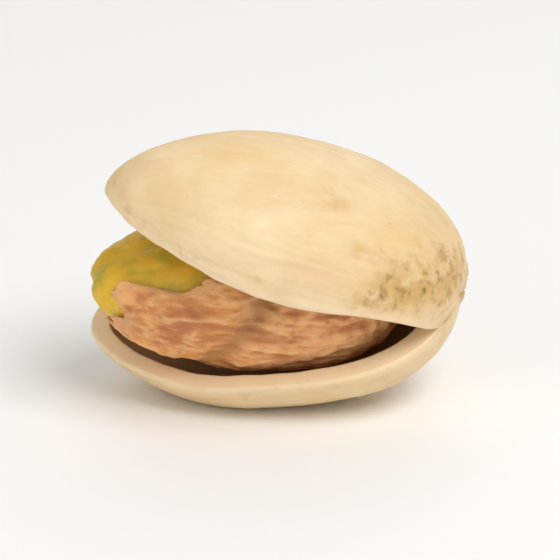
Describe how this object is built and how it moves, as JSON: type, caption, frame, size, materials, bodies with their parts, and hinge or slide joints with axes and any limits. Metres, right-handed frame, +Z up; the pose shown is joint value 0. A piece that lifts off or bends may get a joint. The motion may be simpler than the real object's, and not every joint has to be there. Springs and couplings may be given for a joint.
{
  "type": "pistachio in shell",
  "caption": "Pistachio in its split shell: an oval woody shell gaping at the apex over a seed in torn reddish skin, lying on a small flat on its lower valve.",
  "frame": {"origin": "on the ground under the middle of the nut's bounding box", "axes": "+X along the nut towards its stem end, -Y the side where the split faces, +Z up"},
  "size_m": [0.021, 0.0144, 0.0153],
  "materials": {
    "shell": "smooth matte cream shell with faint brown stains",
    "kernel": "satin yellow-green seed",
    "seed_skin": "wrinkled reddish-brown papery skin"
  },
  "bodies": {
    "root": {"shell": "shell", "kernel": "kernel", "seed_skin": "seed_skin"}
  },
  "joints": []
}
